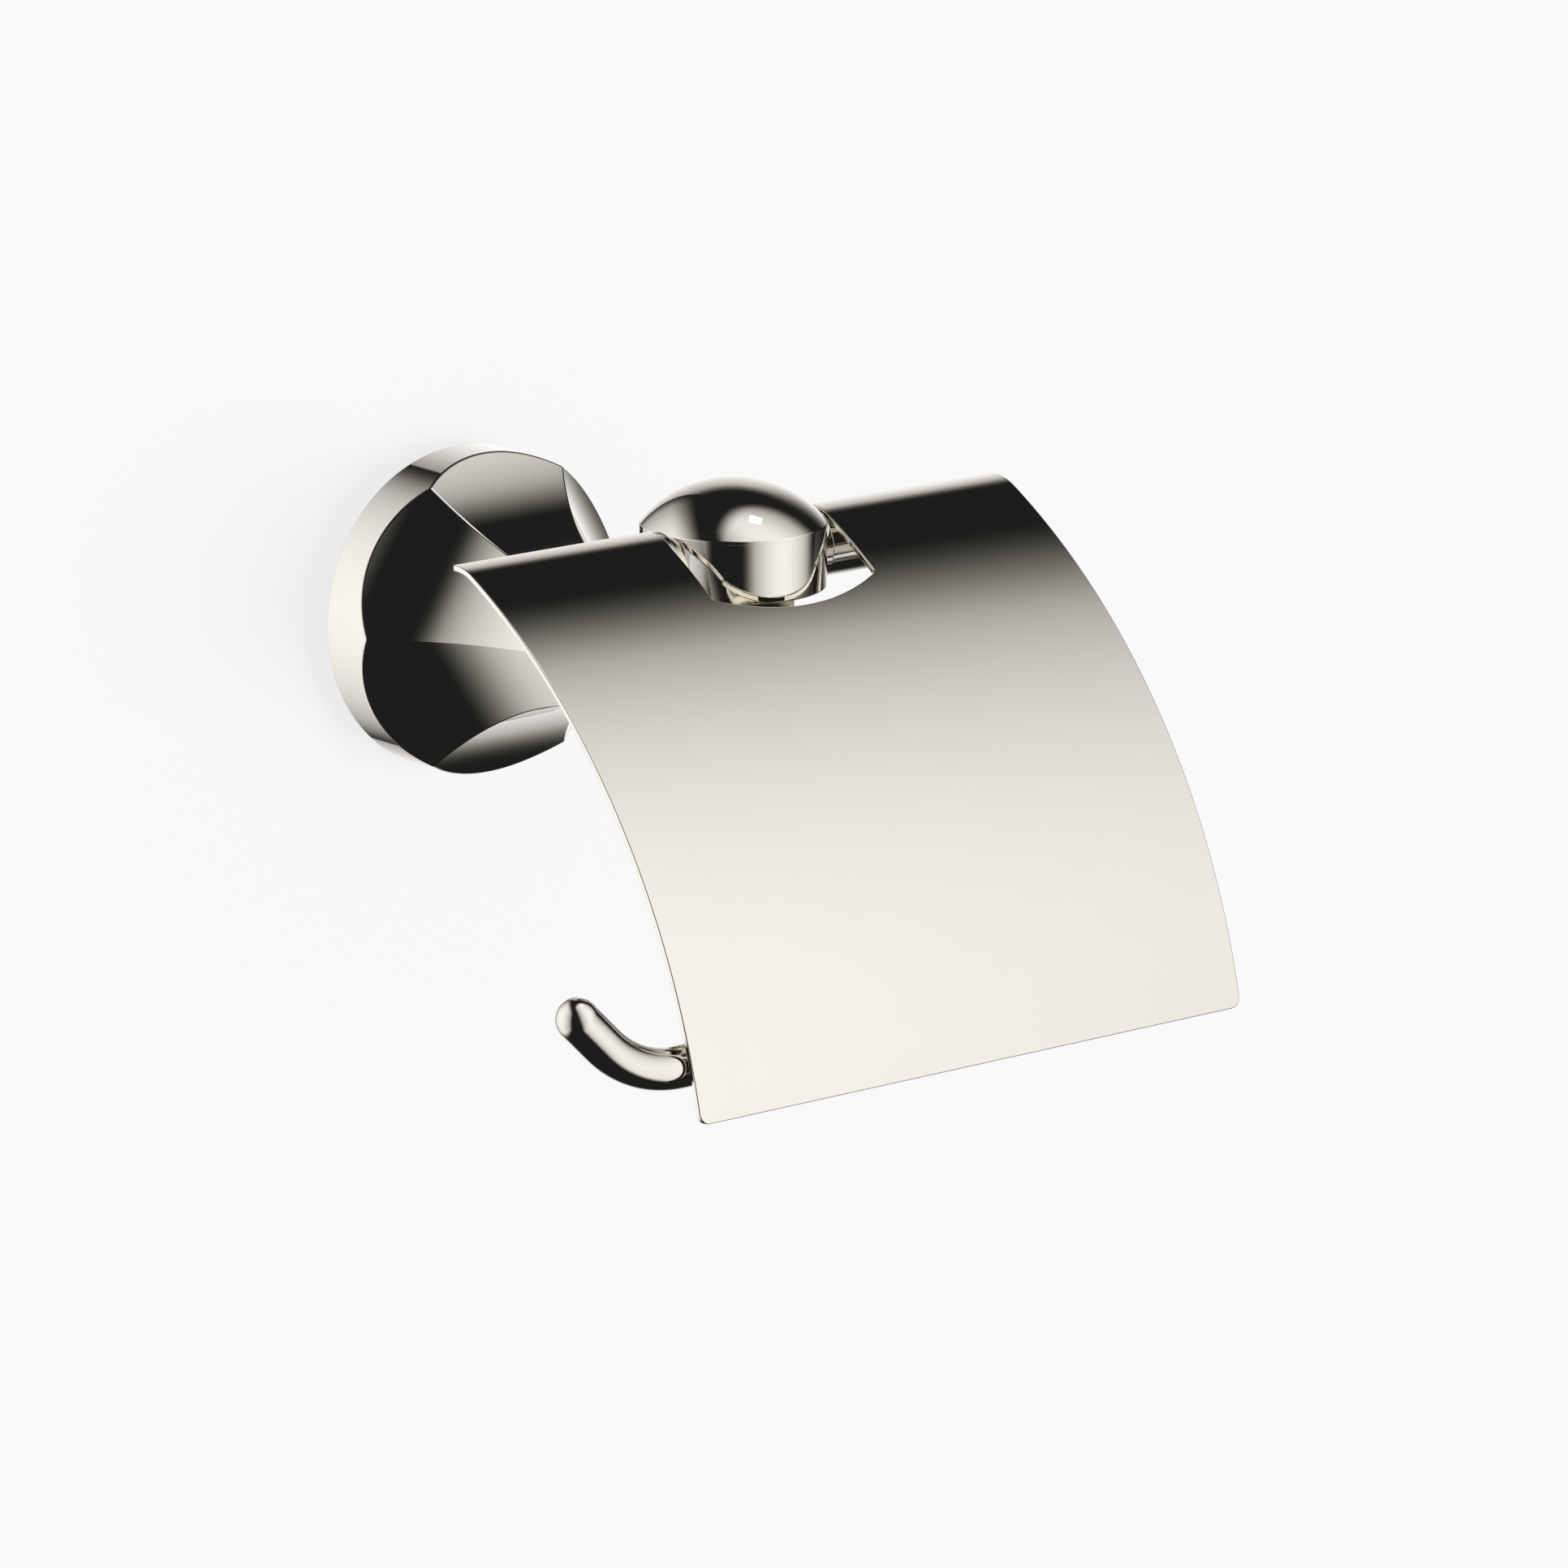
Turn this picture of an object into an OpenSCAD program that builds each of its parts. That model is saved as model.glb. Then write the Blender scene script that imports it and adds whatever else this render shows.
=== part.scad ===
// Wall-mounted toilet paper holder with a hinged cover.
// Origin: centre of the rosette's back face, on the wall. The wall is the plane Y = 0.
// -Y points out of the wall towards the user, +X to the right, +Z up.

/* [Rosette] */
// Diameter of the round wall flange
rosette_d = 60; // [58:0.5:64]
// Distance from the wall to the narrowest point of the neck
waist_out = 48.7; // [46:0.1:52]
// Size across the flats of the hexagonal neck
neck_flats = 19.9; // [19:0.1:22]
// Radius of the hollow curve that runs from the flange to the neck
flare_r = 50.6; // [48:0.1:54]

/* [Hinge block] */
// Distance from the wall to the axis of the block
block_out = 80.6; // [79:0.1:84]
// Diameter of the block
block_d = 33.1; // [32:0.1:34]
// Height of the block's underside above the axis of the neck
block_base_z = 17.95; // [17.5:0.05:18.5]
// Height of the block's straight side
block_h = 11.4; // [11:0.1:12]
// Height of the domed cap above the block
dome_h = 8; // [6.5:0.1:10]
// Radius of the elbow's bend, along its middle
elbow_bend_r = 14; // [13:0.5:15]

/* [Hinge] */
// Height of the hinge's axis above the axis of the neck
hinge_z = 23; // [22.9:0.05:23.2]
// Diameter of the rod that carries the cover and the roll
rod_d = 7.57; // [7.2:0.01:7.8]
// Outer diameter of the cover's barrels
sleeve_d = 12.4; // [12:0.1:12.6]
// Outer diameter of the collars beside the block
collar_d = 13.3; // [12.8:0.1:13.8]
// Distance from the middle of the block to the outer face of a collar
collar_end_x = 17.5; // [17.3:0.1:18]
// Distance from the middle of the block to the outer end of a barrel
sleeve_end_x = 41.5; // [38:0.5:41.5]

/* [Cover] */
// Width of the cover
cover_w = 121.6; // [118:0.1:124]
// Thickness of the sheet
cover_t = 1.05; // [0.8:0.05:1.2]
// Outer radius of the cover's main curve
cover_r = 124; // [122:0.5:126]
// Distance from the wall to the centre of that curve
cover_centre_out = 26.7; // [26:0.1:27.4]
// Depth of the centre of that curve below the axis of the neck
cover_centre_drop = 80.7; // [80.2:0.1:81.2]
// Outer radius of the small bend at the top of the cover
top_bend_r = 10; // [9:0.5:11]
// Height of the cover's flat back edge above the axis of the neck
cover_top_z = 29.9; // [29.8:0.05:30]
// Distance from the wall to the cover's back edge
cover_back_out = 79.4; // [78.6:0.1:80]
// Angle of the cover's lower edge, seen from the centre of the main curve
cover_lower_angle = 11.9; // [10:0.1:14]
// Radius of the cover's lower corners
corner_r = 2; // [1:0.5:5]
// Width of the notch round the block
notch_w = 36.2; // [35.8:0.1:38]
// Distance from the block's axis to the front of the notch
notch_reach = 20.6; // [20:0.1:23]
// Radius of the notch's front edge
notch_front_r = 48; // [40:1:60]
// Radius of the notch's two inner corners
notch_corner_r = 1.25; // [1:0.25:2]

/* [Roll bar] */
// Depth of the bar below the axis of the neck
bar_drop = 46.5; // [44:0.5:48]
// Gap between the closed cover and the bar
cover_gap = 0.3; // [0.3:0.1:1]
// Distance from the middle of the block to the bar's right leg
leg_x = 54; // [53.5:0.5:55]
// Radius of the two bends of the right leg, along the middle of the rod
leg_bend_r = 12; // [10:0.5:12]
// Distance from the middle of the block to the start of the upturned end
tip_start_x = 59.7; // [58:0.1:64]
// Radius of the bend of the upturned end, along the middle of the rod
tip_bend_r = 23; // [20:1:26]
// Straight length after that bend
tip_straight = 7.4; // [6:0.2:10]

/* [Wall fixing] */
// Diameter of the wall plate
plate_d = 48.2; // [47.6:0.1:48.4]
// Distance between the two wall screws
screw_spacing = 30; // [28:1:31]
// Diameter of the holes for the wall screws
screw_hole_d = 5.2; // [4.2:0.1:5.6]

/* [Hidden] */
$fn = 96;

// Amount by which a cutting shape passes the surface that it cuts
over = 1;

nickel = [0.78, 0.75, 0.70];
steel = [0.62, 0.63, 0.65];
black_rubber = [0.10, 0.10, 0.10];
white_plastic = [0.90, 0.90, 0.88];

rosette_r = rosette_d / 2;
neck_r = neck_flats / 2;
neck_corner_r = neck_r / cos(30);
flare_centre = neck_r + flare_r;

cavity_d = plate_d + 0.6;
cavity_depth = 8.6;
plate_floor = 3;
plate_rim = 3;
plate_depth = 7.6;
seal_r = 27.5;
seal_w = 2;
seal_depth = 1.2;
rosette_screw_out = 4.4;
rosette_screw_d = 4;

bolt_d = 6;
bolt_head_d = 10;
bolt_head_h = 5.6;
bolt_socket_d = 5.8;
washer_t = 1.2;
bolt_seat_out = 34;
arm_bolt_end = 60;
dowel_d = 3;
dowel_z = -6.6;
dowel_half = 5;

block_top_z = block_base_z + block_h;
dome_r = (block_d * block_d / 4 + dome_h * dome_h) / (2 * dome_h);
dome_top_z = block_top_z + dome_h;
spigot_d = 13;
spigot_base_z = 9;
block_web_z = 6;
boss_d = 16;
boss_h = 3.2;
bar_screw_d = 5;
grub_socket_d = 2.9;

fit_gap = 0.02;
screw_gap = 0.05;
running_gap = 0.05;
tip_angle = 45;
end_gap = 0.2;
bearing_d = sleeve_d - 2.6;
bearing_bore_d = rod_d + 2 * running_gap;
end_washer_t = 2.6;
end_washer_d = 2 * (cover_top_z - cover_t - hinge_z) - 0.7;
rod_end_x = sleeve_end_x + 2 * end_gap;
end_screw_d = 4;
end_screw_head_d = 7;

cover_inner_r = cover_r - cover_t;
top_bend_centre_z = cover_top_z - top_bend_r;
top_bend_rise = top_bend_centre_z + cover_centre_drop;
top_bend_run = sqrt(pow(cover_r - top_bend_r, 2) - pow(top_bend_rise, 2));
top_bend_centre_y = -cover_centre_out - top_bend_run;
top_bend_angle = atan2(top_bend_run, top_bend_rise);
back_flat = -cover_back_out - top_bend_centre_y;

rod_r = rod_d / 2;
bar_from_centre = cover_inner_r - cover_gap - rod_r;
bar_rise = cover_centre_drop - bar_drop;
bar_y = -cover_centre_out - sqrt(pow(bar_from_centre, 2) - pow(bar_rise, 2));
leg_run = -block_out - bar_y;
leg_fall = hinge_z + bar_drop;
leg_length = sqrt(leg_run * leg_run + leg_fall * leg_fall);
straight_x = leg_x - leg_bend_r;
leg_angle = atan2(leg_run, leg_fall);

// A flat shape in the Y-Z plane, given thickness along X from x0 to x1
module between_x(x0, x1) {
    translate([x0, 0, 0]) rotate([90, 0, 90]) linear_extrude(x1 - x0) children();
}

// A round bar along X, on the hinge's axis
module on_hinge(d, x0, x1) {
    translate([x0, -block_out, hinge_z]) rotate([0, 90, 0]) cylinder(d = d, h = x1 - x0);
}

// A round bar along Y that starts at a distance from the wall and ends at a larger one
module out_from_wall(d, start, end, z = 0) {
    translate([0, -start, z]) rotate([90, 0, 0]) cylinder(d = d, h = end - start);
}

// A round bar along Z on the block's axis
module on_block_axis(d, z0, z1) {
    translate([0, -block_out, z0]) cylinder(d = d, h = z1 - z0);
}

// A six-sided key socket, sunk into the end of a screw that points up
module key_socket(d, depth) {
    translate([0, 0, -over]) cylinder(d = d, h = depth + over, $fn = 6);
}

// A socket head screw that points up, with its head's bottom at the origin
module cap_screw(length) {
    difference() {
        union() {
            cylinder(d = bolt_head_d, h = bolt_head_h);
            cylinder(d = bolt_d, h = bolt_head_h + length);
        }
        key_socket(bolt_socket_d, bolt_head_h / 2);
    }
}

// A headless screw that points up
module grub_screw(d, length) {
    difference() {
        cylinder(d = d, h = length);
        key_socket(grub_socket_d, length / 2);
    }
}

// One pair of opposite faces of the trumpet: flat across, hollow along the way out of the wall
module flare_faces() {
    between_x(-rosette_r - over, rosette_r + over) difference() {
        translate([-waist_out, -rosette_r - over]) square([waist_out, 2 * (rosette_r + over)]);
        for (side = [-1, 1]) translate([-waist_out, side * flare_centre]) circle(flare_r, $fn = 360);
    }
}

module rosette() {
    color(nickel) difference() {
        intersection() {
            out_from_wall(rosette_d, 0, waist_out);
            flare_faces();
            rotate([0, 60, 0]) flare_faces();
            rotate([0, 120, 0]) flare_faces();
        }
        out_from_wall(cavity_d, -over, cavity_depth);
        out_from_wall(bolt_head_d + 1, -over, bolt_seat_out);
        out_from_wall(bolt_d + 0.4, -over, waist_out + over);
        out_from_wall(dowel_d + 2 * screw_gap, waist_out - dowel_half, waist_out + over, dowel_z);
        seal_groove();
        translate([0, -rosette_screw_out, -rosette_r - over])
            cylinder(d = rosette_screw_d + 2 * screw_gap, h = rosette_r - cavity_d / 2 + 2 * over);
    }
}

module seal_groove() {
    difference() {
        out_from_wall(2 * seal_r + seal_w, -over, seal_depth);
        out_from_wall(2 * seal_r - seal_w, -2 * over, seal_depth + over);
    }
}

module seal_ring() {
    color(black_rubber) intersection() {
        seal_groove();
        out_from_wall(rosette_d, 0, seal_depth);
    }
}

module wall_plate() {
    color(steel) difference() {
        out_from_wall(plate_d, 0, plate_depth);
        out_from_wall(plate_d - 2 * plate_rim, plate_floor, plate_depth + over);
        for (side = [-1, 1]) translate([side * screw_spacing / 2, 0, 0])
            out_from_wall(screw_hole_d, -over, plate_floor + over);
    }
}

module rosette_screw() {
    color(steel) translate([0, -rosette_screw_out, -rosette_r + 0.6])
        grub_screw(rosette_screw_d, rosette_r - 0.6 - plate_d / 2);
}

// The neck's six-sided outline, with two of its corners to the left and right
module neck_outline() {
    circle(r = neck_corner_r, $fn = 6);
}

module elbow() {
    color(nickel) difference() {
        union() {
            translate([0, -waist_out, 0]) rotate([90, 0, 0])
                linear_extrude(block_out - elbow_bend_r - waist_out) neck_outline();
            translate([0, -block_out + elbow_bend_r, elbow_bend_r]) rotate([0, 90, 0])
                rotate([0, 0, -90]) rotate_extrude(angle = 90)
                    translate([elbow_bend_r, 0]) rotate(90) neck_outline();
            translate([0, -block_out, elbow_bend_r])
                linear_extrude(block_base_z - elbow_bend_r) neck_outline();
        }
        on_block_axis(spigot_d + 2 * fit_gap, spigot_base_z, block_base_z + over);
        on_block_axis(bolt_d + 0.4, block_web_z - over, spigot_base_z + over);
        on_block_axis(bolt_head_d + 0.6, -neck_flats, block_web_z);
        out_from_wall(bolt_d + 2 * screw_gap, waist_out - over, arm_bolt_end + 2);
        out_from_wall(dowel_d + 2 * screw_gap, waist_out - over, waist_out + dowel_half, dowel_z);
    }
}

module arm_bolt() {
    head_out = bolt_seat_out - washer_t - bolt_head_h;
    color(steel) translate([0, -head_out, 0]) rotate([90, 0, 0])
        cap_screw(arm_bolt_end - bolt_seat_out + washer_t);
}

module arm_washer() {
    color(steel) difference() {
        out_from_wall(bolt_head_d, bolt_seat_out - washer_t, bolt_seat_out);
        out_from_wall(bolt_d + 0.4, bolt_seat_out - washer_t - over, bolt_seat_out + over);
    }
}

module arm_dowel() {
    color(steel) out_from_wall(dowel_d, waist_out - dowel_half, waist_out + dowel_half, dowel_z);
}

module hinge_block() {
    color(nickel) difference() {
        union() {
            on_block_axis(block_d, block_base_z, block_top_z);
            on_block_axis(spigot_d, spigot_base_z, block_base_z + over);
            on_block_axis(boss_d, block_top_z - over, block_top_z + boss_h);
        }
        on_hinge(rod_d + 2 * fit_gap, -block_d, block_d);
        on_block_axis(bolt_d + 2 * screw_gap, spigot_base_z - over, block_base_z - 0.6);
        on_block_axis(bar_screw_d + 2 * screw_gap, hinge_z, dome_top_z);
    }
}

module dome_cap() {
    color(nickel) difference() {
        intersection() {
            translate([0, -block_out, dome_top_z - dome_r]) sphere(r = dome_r);
            on_block_axis(block_d + 2 * over, block_top_z, dome_top_z + over);
        }
        on_block_axis(boss_d + 2 * fit_gap, block_top_z - over, block_top_z + boss_h + 0.1);
    }
}

module block_bolt() {
    color(steel) translate([0, -block_out, block_web_z - bolt_head_h])
        cap_screw(block_base_z - 2 - block_web_z);
}

module bar_screw() {
    screw_base = hinge_z + rod_r;
    screw_length = block_top_z + boss_h - screw_base;
    color(steel) translate([0, -block_out, screw_base + screw_length]) mirror([0, 0, 1])
        grub_screw(bar_screw_d, screw_length);
}

// A straight stretch of the rod along X
module rod_straight(x0, x1) {
    translate([x0, 0, 0]) rotate([0, 90, 0]) cylinder(d = rod_d, h = x1 - x0);
}

// A quarter bend of the rod in the X-Z plane, which starts at an angle round its own centre
module leg_bend(from) {
    rotate([90, 0, 0]) rotate([0, 0, from]) rotate_extrude(angle = 90)
        translate([leg_bend_r, 0]) circle(d = rod_d);
}

// The right leg and the rod through the hinge, standing on the middle of the bar
module leg_and_hinge_rod() {
    translate([straight_x, 0, leg_bend_r]) leg_bend(270);
    translate([leg_x, 0, leg_bend_r]) cylinder(d = rod_d, h = leg_length - 2 * leg_bend_r);
    translate([straight_x, 0, leg_length - leg_bend_r]) leg_bend(0);
    translate([0, 0, leg_length]) rod_straight(-rod_end_x, straight_x);
}

// The upturned end of the bar: a bend, a short straight stretch and a round tip
module upturned_end() {
    translate([-tip_start_x, 0, tip_bend_r]) {
        rotate([90, 0, 0]) rotate([0, 0, 270 - tip_angle]) rotate_extrude(angle = tip_angle)
            translate([tip_bend_r, 0]) circle(d = rod_d);
        rotate([0, tip_angle, 0]) translate([0, 0, -tip_bend_r]) {
            rod_straight(-tip_straight, 0);
            translate([-tip_straight, 0, 0]) sphere(d = rod_d);
        }
    }
}

module roll_bar() {
    color(nickel) difference() {
        translate([0, bar_y, -bar_drop]) {
            rod_straight(-tip_start_x, straight_x);
            upturned_end();
            rotate([-leg_angle, 0, 0]) leg_and_hinge_rod();
        }
        on_hinge(end_screw_d + 2 * screw_gap, -rod_end_x - over, -rod_end_x + 9);
    }
}

// A ring between the block and a barrel, hollowed to sit on the block's round side
module saddle_collar() {
    color(nickel) difference() {
        on_hinge(collar_d, block_d / 4, collar_end_x);
        on_hinge(bearing_bore_d, 0, collar_end_x + over);
        on_block_axis(block_d, 0, 2 * hinge_z);
    }
}

module saddle_collar_left() {
    mirror([1, 0, 0]) saddle_collar();
}

module saddle_collar_right() {
    saddle_collar();
}

module end_washer() {
    outer_x = -rod_end_x - end_washer_t;
    color(nickel) difference() {
        on_hinge(end_washer_d, outer_x, -rod_end_x);
        on_hinge(end_screw_d + 0.4, outer_x - over, -rod_end_x + over);
        on_hinge(end_screw_head_d + 0.4, outer_x - over, outer_x + end_washer_t / 2);
    }
}

module end_screw() {
    head_h = end_washer_t / 2;
    head_x = -rod_end_x - end_washer_t;
    color(steel) translate([head_x, -block_out, hinge_z]) rotate([0, 90, 0]) difference() {
        union() {
            cylinder(d = end_screw_head_d, h = head_h);
            cylinder(d = end_screw_d, h = end_washer_t + 8);
        }
        key_socket(grub_socket_d, head_h / 2);
    }
}

// A bent strip of the sheet that starts on the X axis and turns by an angle round the origin
module bent_strip(outer_r, turn) {
    size = 2 * outer_r;
    intersection() {
        difference() {
            circle(outer_r, $fn = 360);
            circle(outer_r - cover_t, $fn = 360);
        }
        translate([-size, 0]) square([2 * size, size]);
        rotate(turn) translate([-size, -size]) square([2 * size, size]);
    }
}

// The cover's section: main curve, small bend and flat back edge
module cover_section() {
    translate([-cover_centre_out, -cover_centre_drop]) rotate(90 + top_bend_angle) {
        bent_strip(cover_r, 90 - top_bend_angle - cover_lower_angle);
        translate([cover_r - top_bend_r, 0]) {
            mirror([0, 1]) bent_strip(top_bend_r, top_bend_angle);
            rotate(-top_bend_angle) translate([top_bend_r - cover_t, -back_flat])
                square([cover_t, back_flat]);
        }
    }
}

// The notch seen from above: straight sides, a gently curved front and two rounded corners
module notch_outline() {
    half_w = notch_w / 2;
    arc_centre_y = -block_out - notch_reach + notch_front_r;
    corner_x = half_w - notch_corner_r;
    corner_drop = sqrt(pow(notch_front_r - notch_corner_r, 2) - corner_x * corner_x);
    corner_y = arc_centre_y - corner_drop;
    reach = 2 * notch_corner_r;
    difference() {
        intersection() {
            translate([0, arc_centre_y]) circle(notch_front_r, $fn = 360);
            translate([-half_w, -block_out - notch_reach - over])
                square([notch_w, notch_reach + block_out - cover_back_out + 2 * over]);
        }
        for (side = [0, 1]) mirror([side, 0]) difference() {
            polygon([
                [corner_x, corner_y], [half_w + over, corner_y], [half_w + over, corner_y - reach],
                [corner_x + reach * corner_x / corner_drop, corner_y - reach],
            ]);
            translate([corner_x, corner_y]) circle(notch_corner_r);
        }
    }
}

// The waste outside a rounded lower corner of the cover, at the right. The arc's centre lies a
// little nearer to the edges than its radius, so that it crosses them instead of grazing them.
module corner_waste() {
    inset = 0.98 * corner_r;
    translate([0, -cover_centre_out, -cover_centre_drop]) rotate([-cover_lower_angle, 0, 0])
        translate([cover_w / 2 - inset, over - cover_inner_r, inset]) rotate([90, 0, 0])
            linear_extrude(cover_t + 2 * over) difference() {
                translate([0, -corner_r - over]) square([corner_r + over, corner_r + over]);
                circle(corner_r);
            }
}

module cover_plate() {
    color(nickel) difference() {
        between_x(-cover_w / 2, cover_w / 2) cover_section();
        linear_extrude(2 * cover_top_z) notch_outline();
        corner_waste();
        mirror([1, 0, 0]) corner_waste();
    }
}

// One of the cover's barrels, its top cut to the underside of the sheet it is brazed to
module hinge_sleeve() {
    inner_x = collar_end_x + end_gap;
    color(nickel) difference() {
        on_hinge(sleeve_d, inner_x, sleeve_end_x);
        on_hinge(bearing_d, inner_x - over, sleeve_end_x + over);
        between_x(inner_x - over, sleeve_end_x + over) cover_section();
        translate([inner_x - over, -block_out - sleeve_d, cover_top_z - cover_t])
            cube([sleeve_end_x, 2 * sleeve_d, sleeve_d]);
    }
}

module hinge_sleeve_left() {
    mirror([1, 0, 0]) hinge_sleeve();
}

module hinge_sleeve_right() {
    hinge_sleeve();
}

// The plastic liner pressed into a barrel, which turns on the rod
module bearing() {
    inner_x = collar_end_x + end_gap;
    color(white_plastic) difference() {
        on_hinge(bearing_d, inner_x, sleeve_end_x);
        on_hinge(bearing_bore_d, inner_x - over, sleeve_end_x + over);
    }
}

module bearing_left() {
    mirror([1, 0, 0]) bearing();
}

module bearing_right() {
    bearing();
}

rosette();
seal_ring();
wall_plate();
rosette_screw();
elbow();
arm_bolt();
arm_washer();
arm_dowel();
hinge_block();
dome_cap();
block_bolt();
bar_screw();
roll_bar();
saddle_collar_left();
saddle_collar_right();
end_washer();
end_screw();
cover_plate();
hinge_sleeve_left();
hinge_sleeve_right();
bearing_left();
bearing_right();
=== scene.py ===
import math

import bmesh
import bpy
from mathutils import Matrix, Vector, geometry


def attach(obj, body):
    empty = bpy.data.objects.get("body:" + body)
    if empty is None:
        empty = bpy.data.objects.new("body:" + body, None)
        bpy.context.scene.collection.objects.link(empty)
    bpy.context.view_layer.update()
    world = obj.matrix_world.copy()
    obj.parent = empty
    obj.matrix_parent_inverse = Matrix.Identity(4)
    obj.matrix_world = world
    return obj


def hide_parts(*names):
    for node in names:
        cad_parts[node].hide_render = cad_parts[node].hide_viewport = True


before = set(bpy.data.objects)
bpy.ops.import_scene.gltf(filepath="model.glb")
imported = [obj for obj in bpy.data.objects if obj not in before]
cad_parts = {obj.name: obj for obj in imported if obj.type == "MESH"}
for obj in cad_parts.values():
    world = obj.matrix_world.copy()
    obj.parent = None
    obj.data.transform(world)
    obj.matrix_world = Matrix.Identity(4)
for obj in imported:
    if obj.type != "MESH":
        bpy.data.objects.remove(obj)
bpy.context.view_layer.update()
print("frame loaded:", len(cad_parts), "CAD nodes")

mm = 0.001
scene = bpy.context.scene


# toilet paper holder in polished nickel: a wall flange, a domed hinge block, a bent bar for the
# roll and a curved cover that swings up; x is to the right, -y out of the wall, z up

# small helpers for shapes; all shapes are worked out in millimetres
def newShape():
    return {"points": [], "normals": [], "faces": []}


def addVertex(shape, point, normal):
    shape["points"].append(Vector(point))
    shape["normals"].append(Vector(normal).normalized())
    return len(shape["points"]) - 1


def addFace(shape, corners):
    # turned over when it looks away from the normals of its corners
    a, b, c = (shape["points"][i] for i in corners[:3])
    facing = (b - a).cross(c - a)
    if len(corners) == 4:
        facing = (c - a).cross(shape["points"][corners[3]] - b)
    wanted = Vector()
    for i in corners:
        wanted += shape["normals"][i]
    shape["faces"].append(list(corners) if facing.dot(wanted) > 0 else list(reversed(corners)))


def addRows(shape, rows, ringed=False):
    # rows of (point, normal) pairs, joined by quads; ringed joins each row's end to its start
    numbered = [[addVertex(shape, p, n) for p, n in row] for row in rows]
    across = len(rows[0]) if ringed else len(rows[0]) - 1
    for lower, upper in zip(numbered, numbered[1:]):
        for i in range(across):
            j = (i + 1) % len(lower)
            corners = [lower[i], lower[j], upper[j], upper[i]]
            places = [shape["points"][k] for k in corners]
            kept = [k for n, k in enumerate(corners) if (places[n] - places[n - 1]).length > 1e-7]
            if len(kept) >= 3:
                addFace(shape, kept)
    return numbered


def makePiece(name, shape, body, replaced, material):
    mesh = bpy.data.meshes.new(name)
    mesh.from_pydata([tuple(p * mm) for p in shape["points"]], [], shape["faces"])
    mesh.polygons.foreach_set("use_smooth", [True] * len(mesh.polygons))
    mesh.normals_split_custom_set_from_vertices([tuple(n) for n in shape["normals"]])
    mesh.materials.append(material)
    piece = bpy.data.objects.new(name, mesh)
    scene.collection.objects.link(piece)
    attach(piece, body)
    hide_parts(*replaced)
    return piece


def roundedLine(points, radius, steps=5, closed=False):
    # a line with its sharp corners rounded: (point, normal) pairs, normals to the right of travel
    points = [Vector(p) for p in points]
    count = len(points)
    made = []
    for i, here in enumerate(points):
        if not closed and i in (0, count - 1):
            along = (points[1] - here) if i == 0 else (here - points[-2])
            made.append((here, Vector((along.y, -along.x)).normalized()))
            continue
        before = here - points[i - 1]
        after = points[(i + 1) % count] - here
        turn = before.angle_signed(after, 0)
        startNormal = Vector((before.y, -before.x)).normalized()
        endNormal = Vector((after.y, -after.x)).normalized()
        cornerRadius = radius[i] if isinstance(radius, (list, tuple)) else radius
        if abs(turn) < math.radians(12) or cornerRadius == 0:
            made.append((here, (startNormal + endNormal).normalized()))
            continue
        back = cornerRadius * math.tan(abs(turn) / 2)
        room = 0.48 * min(before.length, after.length)
        if back > room:
            cornerRadius *= room / back
            back = room
        start = here - before.normalized() * back
        side = 1 if turn > 0 else -1    # +1 turns clockwise, towards the right
        centre = start + startNormal * cornerRadius * side
        for k in range(steps + 1):
            normal = startNormal.slerp(endNormal, k / steps)
            made.append((centre - normal * cornerRadius * side, normal))
    return made


def turned(shape, profile, centre, axis, segments=128):
    # profile pairs hold (radius, height along the axis); axis is "x", "y" or "z"
    rows = []
    for point, normal in profile:
        row = []
        for k in range(segments):
            angle = 2 * math.pi * k / segments
            c, s = math.cos(angle), math.sin(angle)
            around = {"x": (0, c, s), "y": (c, 0, s), "z": (c, s, 0)}[axis]
            along = {"x": (1, 0, 0), "y": (0, 1, 0), "z": (0, 0, 1)}[axis]
            place = Vector(centre) + Vector(around) * point.x + Vector(along) * point.y
            facing = Vector(around) * normal.x + Vector(along) * normal.y
            row.append((place, facing))
        rows.append(row)
    return addRows(shape, rows, ringed=True)


# finishes
def newMaterial(name):
    material = bpy.data.materials.new(name)
    material.use_nodes = True
    tree = material.node_tree
    return material, tree, tree.nodes["Principled BSDF"]


def addNoise(tree, scale, detail, low, high):
    # noise in object space, in cycles per metre, spread between two values
    place = tree.nodes.new("ShaderNodeTexCoord")
    noise = tree.nodes.new("ShaderNodeTexNoise")
    noise.inputs["Scale"].default_value = scale
    noise.inputs["Detail"].default_value = detail
    spread = tree.nodes.new("ShaderNodeMapRange")
    spread.inputs["From Min"].default_value = 0.3
    spread.inputs["From Max"].default_value = 0.7
    spread.inputs["To Min"].default_value = low
    spread.inputs["To Max"].default_value = high
    tree.links.new(place.outputs["Object"], noise.inputs["Vector"])
    tree.links.new(noise.outputs["Fac"], spread.inputs["Value"])
    return noise, spread


def addTint(tree, shader, noise, first, second):
    # the colour drifts between two shades with the noise
    tint = tree.nodes.new("ShaderNodeMix")
    tint.data_type = "RGBA"
    tint.inputs["A"].default_value = (*first, 1)
    tint.inputs["B"].default_value = (*second, 1)
    tree.links.new(noise.outputs["Fac"], tint.inputs["Factor"])
    tree.links.new(tint.outputs["Result"], shader.inputs["Base Color"])


def addBump(tree, shader, height, depth):
    bump = tree.nodes.new("ShaderNodeBump")
    bump.inputs["Distance"].default_value = depth
    tree.links.new(height.outputs["Result"], bump.inputs["Height"])
    tree.links.new(bump.outputs["Normal"], shader.inputs["Normal"])


nickelLook = {
    "colour": (0.905, 0.868, 0.800),
    "tarnish": (0.885, 0.842, 0.765),
    "roughLow": 0.010,
    "roughHigh": 0.022,
    "cloudScale": 90,
    "grainScale": 5200,
    "grainDepth": 0.0000006,
}


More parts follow.
